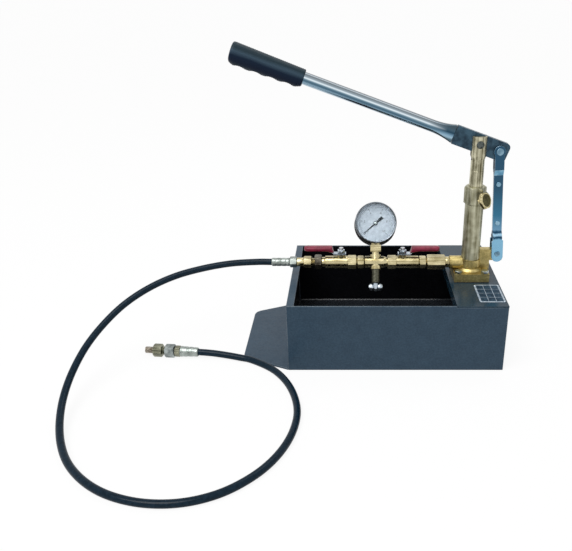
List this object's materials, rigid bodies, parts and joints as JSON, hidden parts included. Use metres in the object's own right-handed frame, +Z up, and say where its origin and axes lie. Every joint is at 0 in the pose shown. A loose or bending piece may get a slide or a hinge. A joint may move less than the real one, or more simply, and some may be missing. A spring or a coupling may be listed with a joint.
{
  "type": "hydrostatic test pump",
  "caption": "Hand-operated pressure test pump: open steel water tank with a lever-driven brass plunger pump, shut-off valves, dial gauge and a flexible test hose.",
  "frame": {"origin": "centre of the tank's underside", "axes": "+Z up, +X along the tank towards the pump, +Y to the back, away from the gauge's face"},
  "size_m": [0.586, 0.4918, 0.4291],
  "materials": {
    "tank_paint": "glossy dark blue-grey hammered paint",
    "cast_brass": "cast, machined on top",
    "brass": "turned, slightly dull",
    "zinc_steel": "bright zinc plate with a blue tint",
    "bright_steel": "polished",
    "chrome_tube": "bright plated tube",
    "dark_steel": "dark blue-grey, semi-gloss",
    "grey_steel": "dull grey plate",
    "grip_rubber": "moulded, fine ribs",
    "red_sleeve": "glossy dipped vinyl",
    "seat_plastic": "smooth white",
    "gasket_rubber": "matt black",
    "hose_rubber": "smooth black cover",
    "gauge_black": "black, semi-gloss",
    "lens": "clear",
    "dial_white": "white, matt",
    "spring_bronze": "drawn bronze tube",
    "pointer_black": "black, matt"
  },
  "bodies": {
    "root": {"tank_shell": "tank_paint", "deck_plate": "tank_paint", "foot_plate": "tank_paint", "pump_base": "cast_brass", "base_gasket": "gasket_rubber", "base_bolts": "zinc_steel", "suction_tube": "brass", "suction_strainer": "zinc_steel", "pump_cylinder": "brass", "gland_nut": "brass", "packing_rings": "gasket_rubber", "vent_plug": "brass", "check_body": "brass", "pump_nipple": "brass", "right_valve_body": "brass", "right_valve_cap": "brass", "left_valve_body": "brass", "left_valve_cap": "brass", "valve_seats": "seat_plastic", "tee": "brass", "left_nipple": "brass", "outlet_adapter": "brass", "outlet_lock_nut": "grey_steel", "hose_nut": "zinc_steel", "hose_ferrule": "zinc_steel", "hose": "hose_rubber", "far_ferrule": "zinc_steel", "far_nut": "zinc_steel", "far_adapter": "brass", "gauge_socket": "brass", "gauge_case": "gauge_black", "gauge_bezel": "gauge_black", "gauge_lens": "lens", "gauge_dial": "dial_white", "gauge_movement": "brass", "bourdon_tube": "spring_bronze", "bleed_body": "brass"},
    "plunger": {"plunger_rod": "brass", "plunger_clevis": "brass", "plunger_pin": "dark_steel"},
    "lever": {"lever_bar": "dark_steel", "lever_tube": "chrome_tube", "lever_grip": "grip_rubber"},
    "link": {"link_strap_front": "zinc_steel", "link_strap_rear": "zinc_steel", "link_rivets": "zinc_steel", "link_pins": "zinc_steel"},
    "right_valve": {"right_valve_ball": "bright_steel", "right_valve_handle": "zinc_steel", "right_valve_sleeve": "red_sleeve", "right_valve_nut": "zinc_steel"},
    "left_valve": {"left_valve_ball": "bright_steel", "left_valve_handle": "zinc_steel", "left_valve_sleeve": "red_sleeve", "left_valve_nut": "zinc_steel"},
    "pointer": {"gauge_pointer": "pointer_black"},
    "bleed_screw": {"bleed_needle": "zinc_steel", "bleed_wing": "zinc_steel"},
    "suction_ball": {"suction_ball": "bright_steel"},
    "discharge_ball": {"discharge_ball": "bright_steel"}
  },
  "joints": [
    {"name": "plunger_stroke", "type": "slide", "parent": "root", "child": "plunger", "axis": [0, 0, 1], "range_m": [-0.0185, 0.0065]},
    {"name": "lever_pump", "type": "hinge", "parent": "plunger", "child": "lever", "pos_m": [0.111, -0.01, 0.297], "axis": [0, 1, 0], "range_deg": [-36, 12]},
    {"name": "link_swing", "type": "hinge", "parent": "lever", "child": "link", "pos_m": [0.139, -0.01, 0.28681], "axis": [0, 1, 0], "range_deg": [-12.5, 36.5]},
    {"name": "right_valve_turn", "type": "hinge", "parent": "root", "child": "right_valve", "pos_m": [0.0125, -0.01, 0.122], "axis": [0, 0, -1], "range_deg": [0, 90]},
    {"name": "left_valve_turn", "type": "hinge", "parent": "root", "child": "left_valve", "pos_m": [-0.0765, -0.01, 0.122], "axis": [0, 0, -1], "range_deg": [0, 90]},
    {"name": "gauge_needle", "type": "hinge", "parent": "root", "child": "pointer", "pos_m": [-0.0265, 0.01606, 0.171], "axis": [0, 0.8829, -0.4695], "range_deg": [0, 270], "stiffness_Nm_per_rad": 0.002},
    {"name": "bleed_turn", "type": "hinge", "parent": "root", "child": "bleed_screw", "pos_m": [-0.0265, -0.02408, 0.09551], "axis": [0, -0.4695, -0.8829], "range_deg": [0, 540]},
    {"name": "suction_lift", "type": "slide", "parent": "root", "child": "suction_ball", "axis": [0, 0, 1], "range_m": [0, 0.002]},
    {"name": "discharge_lift", "type": "slide", "parent": "root", "child": "discharge_ball", "axis": [-1, 0, 0], "range_m": [0, 0.002], "stiffness_N_per_m": 150}
  ],
  "couplings": [
    {"joint": "plunger_stroke", "follows": "lever_pump", "m_per_rad": 0.029},
    {"joint": "link_swing", "follows": "lever_pump", "ratio": -1}
  ]
}
